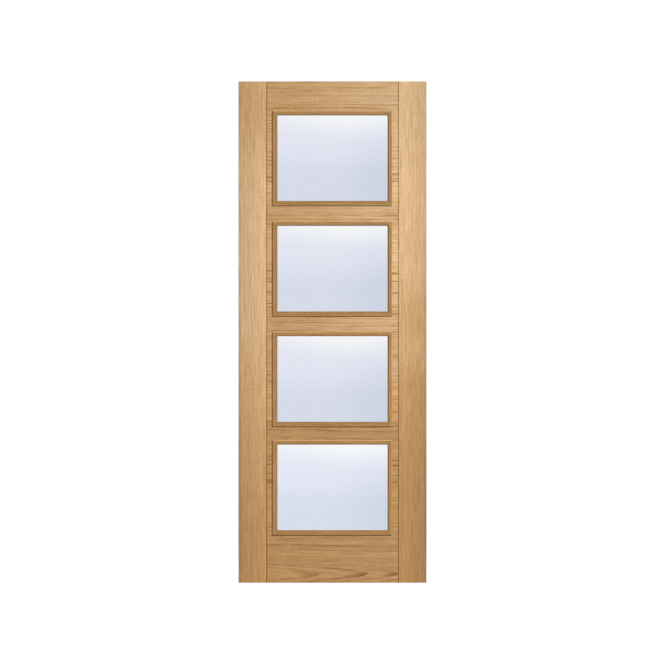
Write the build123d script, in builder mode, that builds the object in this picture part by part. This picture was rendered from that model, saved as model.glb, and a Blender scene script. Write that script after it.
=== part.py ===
from build123d import *
import os

# Glazed oak door leaf: two stiles, five stacked cross boards and four clear panes, each pane
# held between mitred beads on the front and on the back.
# The hinge edge lies on X = 0, the front looks along -Y and the leaf stands on Z = 0, with Y = 0
# at the middle of its thickness.

# Leaf
leaf_width = 762.0
leaf_height = 2032.0
leaf_thickness = 35.0

# Stiles, measured to the middle of the groove, and the solid strips down their outer edges
stile_width = 114.0
lipping_width = 12.0
edge_round = 1.5

# V grooves along the joints, on both faces
groove_width = 4.0
groove_depth = 3.0

# Cross boards of one height, from the floor up
board_names = ["bottom_board", "lower_board", "middle_board", "upper_board", "top_board"]

# Wood left around and between the four apertures
top_rail = 126.0
upper_rail = 78.5
middle_rail = 78.0
lower_rail = 70.0
bottom_rail = 201.5
side_strip = 32.5

# Glass
glass_thickness = 6.0
glass_edge_gap = 3.0

# Glazing beads: a body inside the aperture, a lip over the face of the leaf, and a flat crest
# with an eased outer corner and a rounded nose beside the glass
bead_body = 11.0
bead_fit = 0.2
bead_lip = 7.0
bead_rise = 5.0
crest_round = 3.5
nose_round = 6.0

# Worked out from the sizes above
face = leaf_thickness / 2
middle_x = leaf_width / 2
stile_body = stile_width - lipping_width
board_length = leaf_width - 2 * stile_width
board_height = leaf_height / len(board_names)
joint_heights = [n * board_height for n in range(1, len(board_names))]
rails = [upper_rail, middle_rail, lower_rail]
pane_count = len(rails) + 1
aperture_width = board_length - 2 * side_strip
aperture_height = (leaf_height - top_rail - sum(rails) - bottom_rail) / pane_count
pane_heights = [
    leaf_height - top_rail - sum(rails[:n]) - (n + 0.5) * aperture_height for n in range(pane_count)
]
bead_edge = bead_fit + bead_body
bead_width = bead_edge + bead_lip
glass_face = glass_thickness / 2
sight_width = aperture_width - 2 * bead_edge
sight_height = aperture_height - 2 * bead_edge

# Section of a groove, a diamond centred on the face so that its inner half cuts the wood
upright_groove = [(-groove_width / 2, 0), (0, -groove_depth), (groove_width / 2, 0), (0, groove_depth)]
level_groove = [(deep, across) for across, deep in upright_groove]

os.makedirs("parts", exist_ok=True)


def write(piece, name):
    piece.part.label = name
    export_step(piece.part, f"parts/{name}.step")


# Stiles: plain uprights with half of a V groove down the inner edge of each face
for name, centre, groove_x in (
    ("hinge_stile", lipping_width + stile_body / 2, stile_width),
    ("lock_stile", leaf_width - lipping_width - stile_body / 2, leaf_width - stile_width),
):
    with BuildPart() as stile:
        with BuildSketch() as plan:
            with Locations((centre, 0)):
                Rectangle(stile_body, leaf_thickness)
            with Locations((groove_x, -face), (groove_x, face)):
                Polygon(*upright_groove, mode=Mode.SUBTRACT)
        extrude(amount=leaf_height)
    write(stile, name)

# Lippings: solid strips with eased outer corners, glued along the outer edge of each stile
for name, centre, outward in (
    ("hinge_edge_lipping", lipping_width / 2, -Axis.X),
    ("lock_edge_lipping", leaf_width - lipping_width / 2, Axis.X),
):
    with BuildPart() as lipping:
        with BuildSketch() as plan:
            with Locations((centre, 0)):
                Rectangle(lipping_width, leaf_thickness)
            fillet(plan.vertices().group_by(outward)[-1], edge_round)
        extrude(amount=leaf_height)
    write(lipping, name)

# Cross boards: each is a slab between the stiles, grooved along its ends and its joints and
# notched by the apertures that straddle those joints
for n, name in enumerate(board_names):
    with BuildPart() as board:
        with BuildSketch(Plane.XY.offset(n * board_height)) as plan:
            with Locations((middle_x, 0)):
                Rectangle(board_length, leaf_thickness)
                with GridLocations(board_length, leaf_thickness, 2, 2):
                    Polygon(*upright_groove, mode=Mode.SUBTRACT)
        extrude(amount=board_height)
        with BuildSketch(Plane.YZ.offset(stile_width)) as joints:
            with Locations(*[(side, height) for height in joint_heights for side in (-face, face)]):
                Polygon(*level_groove)
        extrude(amount=board_length, mode=Mode.SUBTRACT)
        with BuildSketch(Plane.XZ) as apertures:
            with Locations(*[(middle_x, height) for height in pane_heights]):
                Rectangle(aperture_width, aperture_height)
        extrude(amount=leaf_thickness, both=True, mode=Mode.SUBTRACT)
    write(board, name)

# Glass: one sheet to an aperture, on the middle of the leaf's thickness
for n, height in enumerate(pane_heights, start=1):
    with BuildPart() as pane:
        with BuildSketch(Plane.XZ) as sheet:
            with Locations((middle_x, height)):
                Rectangle(aperture_width - 2 * glass_edge_gap, aperture_height - 2 * glass_edge_gap)
        extrude(amount=glass_face, both=True)
    write(pane, f"glass_pane_{n}")


def bead_stick(height, facing, outward, reach, run):
    """One mitred stick. Its section lies across the middle of the sight line, which is reach from
    the middle of the pane and run long, and grows outward over the wood and facing off the glass."""
    along = outward.cross(facing)
    middle = Vector(middle_x, 0, height) + outward * reach
    with BuildPart() as bead:
        with BuildSketch(Plane(middle, x_dir=outward, z_dir=along)) as section:
            with BuildLine():
                Polyline(
                    (0, glass_face),
                    (bead_body, glass_face),
                    (bead_body, face),
                    (bead_width, face),
                    (bead_width, face + bead_rise),
                    (0, face + bead_rise),
                    close=True,
                )
            make_face()
            nose, crest = section.vertices().group_by(Axis.Y)[-1].sort_by(Axis.X)
            fillet(nose, nose_round)
            fillet(crest, crest_round)
        extrude(amount=run / 2 + bead_width, both=True)
        for end in (along, -along):
            split(bisect_by=Plane(middle + end * (run / 2), z_dir=end - outward), keep=Keep.BOTTOM)
    return bead


# Beads: four sticks around each pane on each face, mitred where they meet
sides = (
    ("top", Vector(0, 0, 1), sight_height / 2, sight_width),
    ("bottom", Vector(0, 0, -1), sight_height / 2, sight_width),
    ("hinge_side", Vector(-1, 0, 0), sight_width / 2, sight_height),
    ("lock_side", Vector(1, 0, 0), sight_width / 2, sight_height),
)
for n, height in enumerate(pane_heights, start=1):
    for face_name, facing in (("front", Vector(0, -1, 0)), ("back", Vector(0, 1, 0))):
        for side_name, outward, reach, run in sides:
            stick = bead_stick(height, facing, outward, reach, run)
            write(stick, f"pane_{n}_{face_name}_{side_name}_bead")
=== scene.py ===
# %% [markdown]
# # A glazed oak door leaf
#
# This is an interior door leaf: two upright stiles, five stacked cross boards with V grooves between
# them, and four clear panes held by raised oak beads on both faces. Its solids come from the CAD frame
# at their real size, and every mitre, groove and rounded edge is already in them. So this script moves
# and resizes nothing. It sets the camera, gives each surface its finish, and then adds the floor and
# the light. Each step starts with a note like this one, and each code cell prints what it made or
# measured.

# %% Load the frame
import math
from collections import namedtuple

import bmesh
import bpy
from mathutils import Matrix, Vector


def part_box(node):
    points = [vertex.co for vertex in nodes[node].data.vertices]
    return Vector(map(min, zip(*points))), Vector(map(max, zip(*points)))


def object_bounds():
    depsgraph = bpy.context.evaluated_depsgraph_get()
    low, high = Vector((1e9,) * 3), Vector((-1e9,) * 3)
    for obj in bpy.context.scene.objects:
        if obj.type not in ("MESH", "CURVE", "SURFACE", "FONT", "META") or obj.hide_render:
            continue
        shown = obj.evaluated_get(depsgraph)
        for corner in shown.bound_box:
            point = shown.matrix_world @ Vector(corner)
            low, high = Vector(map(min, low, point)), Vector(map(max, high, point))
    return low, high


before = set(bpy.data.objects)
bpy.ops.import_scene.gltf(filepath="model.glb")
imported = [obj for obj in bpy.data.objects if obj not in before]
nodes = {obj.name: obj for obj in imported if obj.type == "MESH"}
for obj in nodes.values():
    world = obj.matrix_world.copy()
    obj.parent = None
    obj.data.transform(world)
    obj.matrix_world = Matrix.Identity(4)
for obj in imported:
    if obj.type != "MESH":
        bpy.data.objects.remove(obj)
cad_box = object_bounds()
low, high = cad_box
middle = (low + high) / 2
leaf_height = high.z - low.z
scene = bpy.context.scene
print(f"frame: {len(nodes)} nodes, leaf {high.x - low.x:.3f} by {leaf_height:.3f} m")

# %% [markdown]
# ## Camera
#
# The photograph looks at the door straight on, and neither the edges of the leaf nor the inner sides of
# the beads show, so it was taken from far away with a long lens. An orthographic camera would look
# almost the same from here, but a real camera has a lens. So this one stands far off, about level with
# the middle of the leaf, and the length of its lens follows from how tall the leaf is in the picture.

# %% Camera
PHOTO_SIDE = 665.0
LEAF_IN_PHOTO = 501.5
LEAF_MIDDLE_ROW = 332.1
CAMERA_DISTANCE = 30.0
CAMERA_REACH = 200.0
SENSOR = 36.0

picture_side = leaf_height * PHOTO_SIDE / LEAF_IN_PHOTO
drop = (PHOTO_SIDE / 2 - LEAF_MIDDLE_ROW) / PHOTO_SIDE * picture_side
camera = bpy.data.objects.new("camera", bpy.data.cameras.new("camera"))
camera.data.sensor_width = SENSOR
camera.data.lens = SENSOR * CAMERA_DISTANCE / picture_side
camera.data.clip_end = CAMERA_REACH
camera.location = (middle.x, low.y - CAMERA_DISTANCE, middle.z - drop)
camera.rotation_euler = (math.radians(90), 0, 0)
scene.collection.objects.link(camera)
scene.camera = camera
print(f"camera: {camera.data.lens:.0f} mm lens, {picture_side:.3f} m across the picture")

# %% [markdown]
# ## Shader maths in Python
#
# A wood finish needs a good deal of arithmetic, and wiring Math nodes by hand hides it. The class
# below wraps one socket of a shader. Python's own operators on it add Math nodes, so a line such as
# `1 - mask * 0.3` reads as what it does. Every other node comes from the one method `node`, which
# sets the node's settings first and then its sockets.

# %% A wire that does arithmetic


class Wire:
    """One output socket of a shader. Arithmetic on it adds Math nodes to the same shader."""

    def __init__(self, socket):
        self.socket = socket

    def node(self, kind, settings, sockets, out=0):
        """Adds any node: its settings, then the values or wires of its sockets."""
        tree = self.socket.id_data
        new = tree.nodes.new("ShaderNode" + kind)
        for name, value in settings.items():
            if name == "stops":
                self.set_stops(new.color_ramp, value)
            else:
                setattr(new, name, value)
        for name, value in sockets.items():
            if isinstance(value, Wire):
                tree.links.new(value.socket, new.inputs[name])
            else:
                new.inputs[name].default_value = value
        return Wire(new.outputs[out])

    @staticmethod
    def set_stops(ramp, stops):
        """Gives a colour ramp its stops, each a place and a colour."""
        ramp.interpolation = "EASE"
        while len(ramp.elements) < len(stops):
            ramp.elements.new(1.0)
        for element, (place, colour) in zip(ramp.elements, stops):
            element.position = place
            element.color = (*colour, 1.0)

    def math(self, operation, *others):
        """A Math node that takes this wire first and the others after it."""
        return self.node("Math", {"operation": operation}, dict(enumerate((self, *others))))

    def __add__(self, other):
        return self.math("ADD", other)

    def __sub__(self, other):
        return self.math("SUBTRACT", other)

    def __rsub__(self, other):
        return self.node("Math", {"operation": "SUBTRACT"}, {0: other, 1: self})

    def __mul__(self, other):
        return self.math("MULTIPLY", other)

    def __pow__(self, other):
        return self.math("POWER", other)

    def __abs__(self):
        return self.math("ABSOLUTE")

    __radd__ = __add__
    __rmul__ = __mul__

    def ease(self, start, end):
        """0 at start and 1 at end, with a smooth turn at both."""
        return self.node(
            "MapRange",
            {"interpolation_type": "SMOOTHSTEP"},
            {"Value": self, "From Min": start, "From Max": end},
        )

    def split(self):
        """The three numbers of a vector."""
        parts = self.node("SeparateXYZ", {}, {0: self}).socket.node.outputs
        return [Wire(part) for part in parts]

    def blend(self, first, second):
        """The first colour where this wire is 0, the second where it is 1."""
        return self.node("Mix", {"data_type": "RGBA"}, {0: self, 6: first, 7: second}, out=2)

    def ramp(self, stops):
        """A colour that passes through the stops, each a value of this wire and a colour."""
        first, last = stops[0][0], stops[-1][0]
        even = [((value - first) / (last - first), colour) for value, colour in stops]
        return self.node("ValToRGB", {"stops": even}, {0: (self - first) * (1 / (last - first))})

    def times(self, other):
        """This colour multiplied by another."""
        return self.node("VectorMath", {"operation": "MULTIPLY"}, {0: self, 1: other})


print("wire: ready for", ", ".join(n for n in vars(Wire) if not n.startswith("_")))

# %% [markdown]
# ## Starting and giving out a finish
#
# Every finish below starts from a Principled shader and from the place on the piece. The CAD nodes sit
# at the origin with their place in their mesh, so Object coordinates are metres in the door's own
# frame, and grain has its real size on every piece. Generated coordinates would stretch with each
# piece. A glaze is one more thin colour over a finish, as a stain is.

# %% Start, glaze and give out a finish
BARE = (1.0, 1.0, 1.0, 1.0)


def new_material(name):
    """A new material, its Principled shader, and a wire with the place on the piece in metres."""
    material = bpy.data.materials.new(name)
    material.use_nodes = True
    shader = material.node_tree.nodes["Principled BSDF"]
    place = Wire(material.node_tree.nodes.new("ShaderNodeTexCoord").outputs["Object"])
    return material, shader, place


def connect(wire, shader, socket):
    """Feeds a socket of a shader from a wire."""
    wire.socket.id_data.links.new(wire.socket, shader.inputs[socket])


def glaze(shader, colour):
    """Multiplies the colour that a finish has so far by one more."""
    below = Wire(shader.inputs["Base Color"].links[0].from_socket)
    connect(below.times(colour), shader, "Base Color")


def rgba(colour):
    """A colour with the fourth number that a socket takes."""
    return (*colour, 1.0)


def dress(material, *names):
    """Gives CAD nodes one finish all over."""
    for name in names:
        slots = nodes[name].data.materials
        slots.clear()
        slots.append(material)


print("finishes: places are read in metres, from", tuple(round(v, 4) for v in low))

# %% [markdown]
# ## Textures along the grain
#
# Everything in wood is drawn out along its grain: a streak a few millimetres wide runs on for a hand's
# length or more. Noise of one scale would look like cork. So a place is first turned into three
# numbers, along the grain, across it on the face, and through the thickness. Each texture below is then
# a row of three values: its rate to the metre along the grain, its rate across it, and a shift that
# keeps it from lining up with the others. The seed of a piece does the same for the pieces.

# %% Textures along the grain


def grain_axes(place, grain):
    """The place along the grain, across it on the face, and through the thickness."""
    x, y, z = place.split()
    return (z, x, y) if grain == "upright" else (x, z, y)


def drawn_out(axes, texture, seed):
    """The place where a texture is read, drawn out along the grain."""
    along, across, deep = axes
    along_rate, across_rate, shift = texture
    sockets = {0: along * along_rate + (seed + shift), 1: across * across_rate, 2: deep * across_rate}
    return along.node("CombineXYZ", {}, sockets)


def streaks(axes, texture, seed):
    """Noise drawn out along the grain, from about -0.5 to 0.5."""
    where = drawn_out(axes, texture, seed)
    return where.node("TexNoise", {}, {"Vector": where, "Scale": 1.0, "Detail": 2.0}) - 0.5


def line_noise(value, detail):
    """Noise that depends on one number, from about -0.5 to 0.5."""
    sockets = {"W": value, "Scale": 1.0, "Detail": detail}
    return value.node("TexNoise", {"noise_dimensions": "1D"}, sockets) - 0.5


print("grain: along z on upright pieces, along x on level ones")

# %% [markdown]
# ## How oak grows
#
# A board is a slice of a log, so its figure is the log's growth rings seen on a cut. Stretched noise
# alone gives streaks but no arches. Here the distance from the heart of the log is worked out at each
# point, and the rest follows from it: broad bands of good and poor years, and in each year a line that
# darkens slowly and ends sharply where the next year starts. The line is stronger in some years than in
# others and breaks here and there. A heart far to the side gives straight lines, and noise bends them
# as a tree grows. A heart just behind the face of a log that leans gives the pointed arches of the
# bottom rail. So a log is a seed, the place of its heart across and through the piece, its lean, its
# crown, which is how plainly the rings show, and the width of a ring.

# %% Growth rings
RING = 0.009
QUIET = 0.3
Log = namedtuple("Log", "seed heart lean crown ring", defaults=(0.0, QUIET, RING))
SWEEP = (1.8, 4.5, 0.0)
BEND = 0.018
RIPPLE = (6.0, 14.0, 20.0)
RIPPLE_HEIGHT = 0.013
TWISTING = (1.8, 4.5, 40.0)
TWIST = 0.006
BAND_RATE = 38.0
RING_DRIFT = 30.0
RING_UNEVEN = 1.6
LINE_RISE = (0.4, 0.95)
LINE_END = (1.0, 0.95)
YEAR_SKEW = 1.3
BREAKS = (11.0, 40.0, 140.0)
BREAK_TURN = (-0.25, 0.2)


def growth_rings(axes, log):
    """The bands of years, from about -0.5 to 0.5, and the dark line of each year, from 0 to 1."""
    along, across, deep = axes
    side = across - log.heart[0] + streaks(axes, SWEEP, log.seed) * BEND
    side = side + streaks(axes, RIPPLE, log.seed) * RIPPLE_HEIGHT
    depth = deep - log.heart[1] + along * log.lean + streaks(axes, TWISTING, log.seed) * TWIST
    radius = (side * side + depth * depth) ** 0.5
    bands = line_noise(radius * BAND_RATE + log.seed, detail=2.0)
    uneven = line_noise(radius * RING_DRIFT + log.seed, detail=1.0) * RING_UNEVEN
    turns = radius * (1 / log.ring) + uneven
    part = turns.math("FRACT")
    year = turns - part
    strength = year.node("TexWhiteNoise", {"noise_dimensions": "1D"}, {"W": year + log.seed})
    whole = streaks(axes, BREAKS, log.seed).ease(*BREAK_TURN)
    line = part.ease(*LINE_RISE) * part.ease(*LINE_END) * strength ** YEAR_SKEW * whole
    return bands, line


print(f"rings: {RING * 1000:.1f} mm apart, bands about {1000 / BAND_RATE:.0f} mm wide")

# %% [markdown]
# ## Tones of the veneer
#
# Two tones are enough for all the veneer: honey for the deeper wood low down and straw for the paler
# wood above. A piece drifts from one to the other along its grain, as a veneer does along the log, and
# each tone is made lighter or darker as well. Part of that drift is painted shade: the wood is darker
# towards the foot of the leaf and under its head. A tone could be picked for each piece by eye, but
# mixing two keeps all of them in one family.

# %% Tones
HONEY = Vector((0.247, 0.132, 0.048))
STRAW = Vector((0.290, 0.190, 0.098))


def tone(straw, light=1.0):
    """A tone with this share of straw in the honey, made lighter or darker, partly as painted shade."""
    return HONEY.lerp(STRAW, straw) * light


print("tones: half and half is", tuple(round(v, 3) for v in tone(0.5)))

# %% [markdown]
# ## Pores
#
# Oak is full of pores. On the face they are short open grooves under the thin lacquer, most of them in
# the dark line of the year. They could be drawn as noise too, but noise has no clear shapes. The cells
# of a Voronoi texture do: near its centre each cell is a small spot, and the grain draws it out.

# %% Pores
PORES = (85.0, 1900.0, 160.0)
PORE_EDGE = (0.34, 0.12)
PORES_ANYWHERE = 0.25


def pores_of(axes, line, seed):
    """Pores drawn out along the grain, 1 in the pore, and fainter outside the line of the year."""
    where = drawn_out(axes, PORES, seed)
    cells = where.node("TexVoronoi", {}, {"Vector": where, "Scale": 1.0})
    return cells.ease(*PORE_EDGE) * (PORES_ANYWHERE + line * (1 - PORES_ANYWHERE))


print(f"pores: about {1000 / PORES[0]:.0f} mm long and {1000 / PORES[1]:.1f} mm apart")

# %% [markdown]
# ## Cut faces
#
# Where a piece is cut across the grain it drinks more lacquer and turns darker. The sloping flanks of
# the V grooves and the rounded edges get a warm glaze, which is painted shade colour: it turns the
# shade in the grooves and on the rounds from grey to warm brown. Each could be a material of its own
# on picked faces. The way a surface faces tells them apart as well, and needs no picking.

# %% Cut faces
END_GRAIN = (0.60, 0.54, 0.48)
END_FACING = (0.6, 0.9)
# Painted shade colour: a warm glaze on groove flanks and rounded edges.
GROOVE_SHADE_TINT = (1.15, 1.02, 0.82)
OFF_THE_FACE = (0.85, 0.65)
SHORT_OF_SQUARE = (0.25, 0.45)


def glaze_cuts(shader, place, grain, groove):
    """Glazes the end grain, and paints warm shade colour on flanks that slope away from the face."""
    along, _, deep = grain_axes(place.node("NewGeometry", {}, {}, out=1), grain)
    glaze(shader, abs(along).ease(*END_FACING).blend(BARE, rgba(END_GRAIN)))
    flank = abs(deep).ease(*OFF_THE_FACE) * abs(deep).ease(*SHORT_OF_SQUARE)
    glaze(shader, flank.blend(BARE, rgba(groove)))


print(f"cut faces: end grain keeps {END_GRAIN[1]:.0%} of the light of the face")

# %% [markdown]
# ## Lacquered oak
#
# The figure of oak lies between dark wood and pale wood. On the real face it is made of several things
# of different sizes: bands and lines of the years, long soft streaks, finer streaks, short dashes,
# fibres and pores. A picture of a board would repeat from piece to piece, so each of these is a texture
# of its own, and they are added up. The pores are also rougher, and they sink in the bump with the
# lines of the years, while the fibres stand up. Seen from near by, that lets them catch the light.

# %% Lacquered oak
DARK_WOOD = (0.53, 0.40, 0.13)
PALE_WOOD = (1.48, 1.58, 1.84)
PLAIN = 0.60
BAND_SHARE = 0.25
LINE_SHARE = 0.85
PORE_SHARE = 0.25
SOFT = (5.0, 140.0, 60.0)
SOFT_SHARE = 0.3
SOFT_CROWN_SHARE = 0.22
FINE = (12.0, 230.0, 80.0)
FINE_SHARE = 0.75
DASHES = (95.0, 280.0, 100.0)
DASH_SHARE = 0.5
FIBRES = (90.0, 1400.0, 120.0)
FIBRE_SHARE = 0.4
LACQUER_ROUGHNESS = 0.46
PORE_ROUGHNESS = 0.25
BAND_ROUGHNESS = 0.1
LACQUER_SHINE = 0.35
PORE_DEPTH = 0.00025
LINE_SINK = 0.25
FIBRE_RISE = 0.35
RELIEF = 0.5


def oak(name, grain, log, drift, groove=GROOVE_SHADE_TINT):
    """Lacquered oak from a log. Drift gives its tones along the grain, each with its place."""
    material, shader, place = new_material(name)
    axes = grain_axes(place, grain)
    bands, line = growth_rings(axes, log)
    pores = pores_of(axes, line, log.seed)
    fibres = streaks(axes, FIBRES, log.seed)
    figure = PLAIN + bands * (BAND_SHARE * log.crown) - line * (LINE_SHARE * log.crown)
    figure = figure - pores * PORE_SHARE
    figure = figure + streaks(axes, SOFT, log.seed) * (SOFT_SHARE + SOFT_CROWN_SHARE * log.crown)
    figure = figure + streaks(axes, FINE, log.seed) * FINE_SHARE
    figure = figure + streaks(axes, DASHES, log.seed) * DASH_SHARE + fibres * FIBRE_SHARE
    wood = figure.blend(rgba(DARK_WOOD), rgba(PALE_WOOD))
    connect(wood.times(axes[0].ramp(drift)), shader, "Base Color")
    glaze_cuts(shader, place, grain, groove)
    roughness = LACQUER_ROUGHNESS + pores * PORE_ROUGHNESS - bands * BAND_ROUGHNESS
    connect(roughness, shader, "Roughness")
    shader.inputs["Specular IOR Level"].default_value = LACQUER_SHINE
    relief = fibres * FIBRE_RISE - pores - line * LINE_SINK
    bump = place.node("Bump", {}, {"Strength": RELIEF, "Distance": PORE_DEPTH, "Height": relief})
    connect(bump, shader, "Normal")
    return material, shader, axes


print(f"oak: pores {PORE_DEPTH * 1000:.2f} mm deep, roughness about {LACQUER_ROUGHNESS}")

# %% [markdown]
# ## Stiles and lippings
#
# The stiles carry straight, quiet grain from foot to head, so their heart lies far to the side. They
# grow a little paler from the outer side to the inner one. Their tones from foot to head are partly the
# veneer's own and partly painted shade, darker towards the foot and under the head. Each has a solid
# strip glued down its outer edge, which is darker because solid oak takes the lacquer more deeply than
# veneer. A lipping follows the tones of its stile, so the two share one drift, and it pales a little
# towards the head. The two grooves differ in tone, and the glaze of each is painted: painted shade
# darkens the hinge groove and painted light brightens the lock groove.

# %% Stiles and lippings
STILE_LEAN = 0.004
OUTER_SIDE = (0.91,) * 3
INNER_SIDE = (1.08,) * 3
# Painted shade darkens the hinge groove; painted light brightens the lock groove.
HINGE_GROOVE_SHADE = (0.75, 0.66, 0.51)
LOCK_GROOVE_LIGHT = (1.50, 1.33, 1.07)
LIPPING_HEART = (0.4, 0.5)
LIPPING_SEED = 20.0
SOLID_OAK = Vector((0.86, 0.82, 0.81))
SOLID_AT_FOOT = 0.92
SOLID_PALING = 0.07
# Partly the stile's own tones and partly painted shade, darker at the foot and under the head.
HINGE_STILE_DRIFT = [
    (0.20, tone(0.06, 0.945)),
    (0.60, tone(0.32, 0.98)),
    (0.78, tone(0.53, 1.02)),
    (1.15, tone(0.92, 1.05)),
    (1.55, tone(0.85, 1.01)),
    (1.95, tone(0.47, 0.86)),
]
LOCK_STILE_DRIFT = [
    (0.30, tone(0.0, 0.845)),
    (0.80, tone(0.17, 0.905)),
    (0.95, tone(0.46, 0.98)),
    (1.10, tone(0.41, 0.95)),
    (1.26, tone(0.69, 1.01)),
    (1.60, tone(0.90, 0.98)),
    (1.95, tone(0.90, 0.87)),
]


def from_middle(x):
    """How far a place lies from the middle of the leaf."""
    return abs(x - middle.x)


for edge, log, drift, groove in (
    ("hinge", Log(1.0, (-0.35, 0.1), STILE_LEAN), HINGE_STILE_DRIFT, HINGE_GROOVE_SHADE),
    ("lock", Log(7.0, (1.15, 0.1), STILE_LEAN), LOCK_STILE_DRIFT, LOCK_GROOVE_LIGHT),
):
    stile, shader, axes = oak(f"oak {edge} stile", "upright", log, drift, groove)
    inner, outer = sorted((corner.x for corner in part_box(edge + "_stile")), key=from_middle)
    glaze(shader, axes[1].ramp([(outer, OUTER_SIDE), (inner, INNER_SIDE)]))
    dress(stile, edge + "_stile")
    solid = [(z, colour * SOLID_OAK * (SOLID_AT_FOOT + SOLID_PALING * z)) for z, colour in drift]
    strip = Log(log.seed + LIPPING_SEED, LIPPING_HEART)
    lipping, _, _ = oak(f"oak {edge} lipping", "upright", strip, solid)
    dress(lipping, edge + "_edge_lipping")
    print(f"{edge} stile and lipping: {len(drift)} tones from foot to head")

# %% [markdown]
# ## Cross boards
#
# The five boards lie across the leaf, and each comes from a log of its own. A board's tone drifts from
# the hinge end to the lock end. These tones, and the differences between the boards, are partly the
# wood's own and partly painted light and shade, as the light fell across the leaf. The strips beside
# the panes are cut from its long edges, near the sapwood, so they are paler than its rail. The rail
# lies between the beads of two panes, and its edges are read from their boxes. Only the log, the tones
# at the two ends and the paleness of the lower and the upper strips differ from board to board, so the
# boards are rows of one table. The top board has no upper strips and the bottom board has no lower
# ones, so their paleness there is 0.

# %% Cross boards
BOARD_ENDS = (0.18, 0.60)
SAPWOOD = Vector((1.0, 1.25, 1.6))
STRIP_TURN = 0.05
# Board tones are partly the wood's own and partly painted light and shade.
BOARDS = {
    "top_board": (
        Log(48.0, (1.55, -0.20), lean=-0.012, crown=0.85),
        (tone(0.25, 0.83), tone(0.80, 0.835)),
        (0.17, 0.0),
    ),
    "upper_board": (
        Log(56.0, (1.20, -0.20), lean=0.010, crown=0.75),
        (tone(0.29, 0.885), tone(0.70, 0.935)),
        (0.21, 0.21),
    ),
    "middle_board": (
        Log(43.0, (1.35, -0.20), lean=-0.008, crown=0.9),
        (tone(0.36, 0.92), tone(0.74, 0.975)),
        (0.02, 0.09),
    ),
    "lower_board": (
        Log(65.0, (0.30, -0.20), lean=0.010, crown=1.15),
        (tone(0.10, 0.86), tone(0.18, 0.84)),
        (0.09, 0.24),
    ),
    "bottom_board": (
        Log(86.0, (0.036, -0.0488), lean=0.043, crown=0.95, ring=0.0065),
        (tone(0.12, 0.925), tone(0.17, 0.885)),
        (0.0, 0.05),
    ),
}


def stick_box(pane, side):
    """The box of one bead on the front, on this side of a pane."""
    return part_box(f"pane_{pane}_front_{side}_bead")


def rail_edges(row):
    """The foot and the head of the wood between the panes, or the edge of the leaf."""
    foot = stick_box(row + 1, "top")[1].z if row < len(BOARDS) - 1 else low.z
    head = stick_box(row, "bottom")[0].z if row > 0 else high.z
    return foot, head


for row, (name, (log, tones, paleness)) in enumerate(BOARDS.items()):
    board, shader, axes = oak("oak " + name, "level", log, list(zip(BOARD_ENDS, tones)))
    foot, head = rail_edges(row)
    rail = Vector(BARE[:3])
    lower, upper = (rail + SAPWOOD * share for share in paleness)
    stops = [(foot - STRIP_TURN, lower), (foot, rail), (head, rail), (head + STRIP_TURN, upper)]
    glaze(shader, axes[1].ramp(stops))
    dress(board, name)
    print(f"{name}: rail from {foot:.3f} to {head:.3f} m, paleness {paleness}")

# %% [markdown]
# ## Glazing beads
#
# The beads are solid oak sticks with straight grain, mitred at the corners, so two run upright and two
# run level around each pane. They are a shade deeper than the veneer. A line beside the pane, where a
# bead rounds down to the glass, is darkened with painted shade, and a line along the outer arris is
# lightened with a painted highlight. Both follow the sight edges of the pane, which are read from the
# boxes of the sticks. The nose of a top stick looks down and that of a bottom stick looks up, so each
# has its own pair of painted glazes: a top stick's nose is lightened against its shade and its arris
# gets a stronger painted highlight, while a bottom stick's nose is darkened and its highlight is
# weaker. All the sticks are also painted lighter towards the foot of the leaf, against the fall of the
# lamp's light.

# %% Glazing beads
BEAD = Vector((0.182, 0.0955, 0.0310))
BEAD_HEART = (-0.6, 0.5)
UPRIGHT_SEED = 31.0
LEVEL_SEED = 33.0
# Painted light: the beads get lighter towards the foot, against the fall of the lamp's light.
UPRIGHT_PAINTED_LIGHT = ((0.3, 1.06), (1.8, 0.87))
PAINTED_LIGHT_AT_FOOT = 1.04
PAINTED_LIGHT_FALL = 0.11
# Painted shade by the glass and a painted highlight on the outer arris; level sticks get lit and shaded
# pairs.
NOSE_PAINTED_SHADE = (0.62, 0.66, 0.74)
PAINTED_ARRIS_HIGHLIGHT = (1.55, 1.60, 1.75)
LEVEL_PAINTED_LIGHT = {
    "top": ((1.05, 1.15, 1.35), (1.95, 2.25, 2.85)),
    "bottom": ((0.66, 0.72, 0.82), (1.25, 1.28, 1.35)),
}
NOSE_SHADE_WIDTH = 0.007
ARRIS_HIGHLIGHT_WIDTH = 0.004


def sticks(pane, sides):
    """The names of the sticks on these sides of a pane, front and back."""
    return [f"pane_{pane}_{face}_{side}_bead" for face in ("front", "back") for side in sides]


def bead_oak(name, grain, log, drift, sight, nose_painted_light=NOSE_PAINTED_SHADE, arris_highlight=PAINTED_ARRIS_HIGHLIGHT):
    """Oak for sticks that lie either side of a pane, with the sight edges of the pane given."""
    material, shader, axes = oak(name, grain, log, drift)
    outward = abs(axes[1] - sum(sight) / 2) - (sight[1] - sight[0]) / 2
    # Painted shade along the glass, then a painted highlight along the outer arris.
    glaze(shader, outward.ease(NOSE_SHADE_WIDTH, 0.0).blend(BARE, rgba(nose_painted_light)))
    glaze(shader, outward.ease(bead_width - ARRIS_HIGHLIGHT_WIDTH, bead_width).blend(BARE, rgba(arris_highlight)))
    return material


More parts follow.
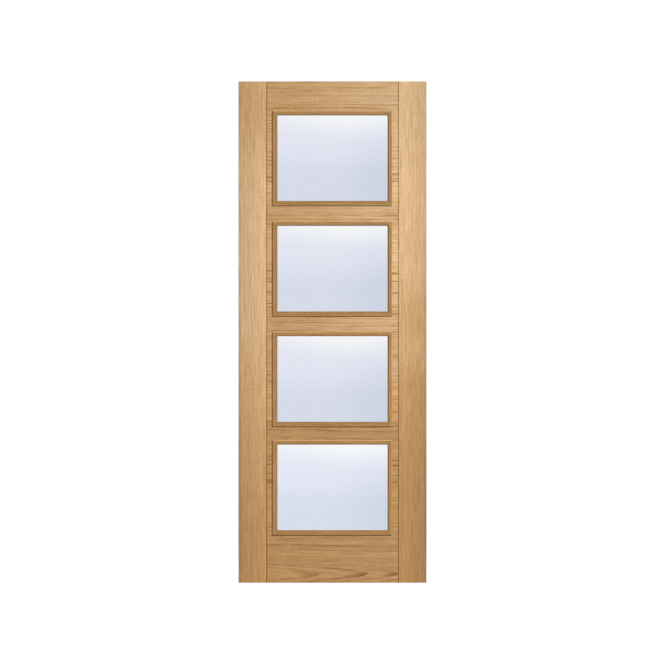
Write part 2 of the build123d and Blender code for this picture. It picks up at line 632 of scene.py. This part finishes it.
panes = range(1, len(BOARDS))
hinge_stick = stick_box(1, "hinge_side")
lock_stick = stick_box(1, "lock_side")
bead_width = hinge_stick[1].x - hinge_stick[0].x
sight_sides = (hinge_stick[1].x, lock_stick[0].x)
upright_log = Log(UPRIGHT_SEED, BEAD_HEART)
upright_drift = [(z, BEAD * light) for z, light in UPRIGHT_PAINTED_LIGHT]
upright_bead = bead_oak("oak upright bead", "upright", upright_log, upright_drift, sight_sides)
for pane in panes:
    dress(upright_bead, *sticks(pane, ("hinge_side", "lock_side")))
    sight = (stick_box(pane, "bottom")[1].z, stick_box(pane, "top")[0].z)
    # Painted light: beads of lower panes are lighter.
    light = PAINTED_LIGHT_AT_FOOT - PAINTED_LIGHT_FALL * sight[0]
    drift = [(low.x, BEAD * light), (high.x, BEAD * light)]
    log = Log(LEVEL_SEED + pane, BEAD_HEART)
    for side, painted_light in LEVEL_PAINTED_LIGHT.items():
        level_bead = bead_oak(f"oak {side} bead {pane}", "level", log, drift, sight, *painted_light)
        dress(level_bead, *sticks(pane, (side,)))
    print(f"pane {pane}: sight {sight[1] - sight[0]:.4f} m tall, light {light:.2f}")

# %% [markdown]
# ## Glass
#
# The panes are clear sheet glass. Each pane is painted from near white at its top to a pale lavender at
# its foot, brightest a little right of the middle and deepest low on the lock side. That colour is
# painted light: it stands in for the light and the white room seen in and through the glass. Sheet
# glass is never quite flat, so a faint wave bends what it mirrors. Light from the lamps should reach
# the floor through it, so for shadow rays the glass is plainly transparent.

# %% Glass
# Painted light on the glass: near white at the top to lavender at the foot.
GLASS_PAINTED_TINTS = [
    (0.00, (0.925, 0.942, 0.955)),
    (0.36, (0.765, 0.795, 0.902)),
    (0.74, (0.672, 0.716, 0.822)),
]
# A painted bright spot a little right of the middle, and painted shade low on the lock side.
PAINTED_BRIGHT_SPOT = 0.62
PAINTED_BRIGHT_FALL = 0.2
PAINTED_BRIGHT_ZONE = (0.6, 0.0)
GLASS_PAINTED_SHADE = (0.91, 0.92, 0.95)
PAINTED_SHADE_ACROSS = (0.45, 1.0)
PAINTED_SHADE_DOWN = (0.1, 0.5)
GLASS_IOR = 1.5
WAVE_RATE = 9.0
WAVE_HEIGHT = 0.0002
WAVE_STRENGTH = 0.3


def glass(name, node):
    """Clear glass with painted light: a tint deepening down the pane and to its lower lock side."""
    material, shader, place = new_material(name)
    lowest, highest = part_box(node)
    x, _, z = place.split()
    fall = (highest.z - z) * (1 / (highest.z - lowest.z))
    across = (x - lowest.x) * (1 / (highest.x - lowest.x))
    # Painted highlight near the top, painted tint down the pane, painted shade on the lower lock side.
    away = abs(across - PAINTED_BRIGHT_SPOT) * PAINTED_BRIGHT_FALL * fall.ease(*PAINTED_BRIGHT_ZONE)
    painted_tint = (fall + away).ramp(GLASS_PAINTED_TINTS)
    painted_shade = across.ease(*PAINTED_SHADE_ACROSS) * fall.ease(*PAINTED_SHADE_DOWN)
    connect(painted_shade.blend(painted_tint, painted_tint.times(GLASS_PAINTED_SHADE)), shader, "Base Color")
    wave = place.node("TexNoise", {}, {"Vector": place, "Scale": WAVE_RATE, "Detail": 1.0})
    bump = place.node("Bump", {}, {"Strength": WAVE_STRENGTH, "Distance": WAVE_HEIGHT, "Height": wave})
    connect(bump, shader, "Normal")
    shader.inputs["Roughness"].default_value = 0.0
    shader.inputs["IOR"].default_value = GLASS_IOR
    shader.inputs["Transmission Weight"].default_value = 1.0
    tree = material.node_tree
    ray = Wire(tree.nodes.new("ShaderNodeLightPath").outputs["Is Shadow Ray"])
    clear = ray.node("BsdfTransparent", {}, {})
    surface = ray.node("MixShader", {}, {0: ray, 1: Wire(shader.outputs[0]), 2: clear})
    connect(surface, tree.nodes["Material Output"], "Surface")
    return material


for pane in panes:
    node = f"glass_pane_{pane}"
    dress(glass(f"clear glass {pane}", node), node)
    lowest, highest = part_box(node)
    print(f"{node}: {highest.x - lowest.x:.3f} by {highest.z - lowest.z:.3f} m")

# %% [markdown]
# ## Floor
#
# The photograph has an even white ground with no line where the floor ends. A lit floor would turn grey
# with distance, so this one glows almost as white as the room and takes only a little light from the
# lamps. Farther off it takes none and glows quite white, because the lowest pane looks out on it. It is
# hidden from the light that bounces between surfaces, or it would light the door from below.

# %% Floor
FLOOR_HALF = 40.0
NEAR_SHADE = (0.06,) * 3
NEAR_GLOW = (0.94,) * 3
FAR_SHADE = (0.0,) * 3
FAR_GLOW = (1.0,) * 3
NEAR = 1.5
FAR = 5.0

floor_mesh = bpy.data.meshes.new("floor")
shape = bmesh.new()
bmesh.ops.create_grid(shape, x_segments=1, y_segments=1, size=FLOOR_HALF)
shape.to_mesh(floor_mesh)
shape.free()
floor = bpy.data.objects.new("floor", floor_mesh)
floor.visible_diffuse = False
scene.collection.objects.link(floor)
floor_material, floor_shader, floor_place = new_material("pale floor")
floor_shader.inputs["Roughness"].default_value = 1.0
floor_shader.inputs["Specular IOR Level"].default_value = 0.0
away = floor_place.node("VectorMath", {"operation": "LENGTH"}, {0: floor_place}, out=1)
far = away.ease(NEAR, FAR)
connect(far.blend(rgba(NEAR_SHADE), rgba(FAR_SHADE)), floor_shader, "Base Color")
connect(far.blend(rgba(NEAR_GLOW), rgba(FAR_GLOW)), floor_shader, "Emission Color")
floor_shader.inputs["Emission Strength"].default_value = 1.0
floor_mesh.materials.append(floor_material)
print(f"floor: {2 * FLOOR_HALF:.0f} m across")

# %% [markdown]
# ## Light
#
# One soft light stands high on the right. It brightens the upper and right shoulders of the beads and
# draws a dark line along their left and lower edges. The room is white to look at and through the
# glass, but it lights the door only dimly, because a room as bright as the ground would fill those
# lines with grey. Its light is also warm, as it is after it has met the wood around it, so the lamps
# are a little cool to keep the lit faces neutral. A second lamp does the same for the back. Both are
# hidden from reflections, because their image in the lacquer would burn the level edges white.

# %% Light
ROOM_LIGHT = (0.66, 0.53, 0.32)
LAMP_COLOUR = (0.96, 1.05, 1.20)
LAMP_POWER = 1500.0
LAMP_SIZE = 1.0
LAMP_DISTANCE = 8.0
KEY_FROM = (0.9, -1.0, 0.8)
BACK_FROM = (-0.9, 1.0, 0.8)

world = bpy.data.worlds.new("white room")
world.use_nodes = True
rays = world.node_tree.nodes.new("ShaderNodeLightPath").outputs
looked_at = Wire(rays["Is Camera Ray"]).math("MAXIMUM", Wire(rays["Is Transmission Ray"]))
connect(looked_at.blend(rgba(ROOM_LIGHT), BARE), world.node_tree.nodes["Background"], "Color")
scene.world = world
scene.view_settings.view_transform = "Standard"


def soft_lamp(name, away):
    """A square light that faces the middle of the leaf from the direction given."""
    light = bpy.data.lights.new(name, "AREA")
    light.energy = LAMP_POWER
    light.color = LAMP_COLOUR
    light.size = LAMP_SIZE
    lamp = bpy.data.objects.new(name, light)
    away = Vector(away).normalized()
    lamp.location = middle + away * LAMP_DISTANCE
    lamp.rotation_euler = away.to_track_quat("Z", "Y").to_euler()
    lamp.visible_camera = False
    lamp.visible_glossy = False
    lamp.visible_transmission = False
    scene.collection.objects.link(lamp)
    print(f"{name}: {light.energy:.0f} W at", tuple(round(v, 2) for v in lamp.location))


soft_lamp("key light", KEY_FROM)
soft_lamp("back light", BACK_FROM)

# %% [markdown]
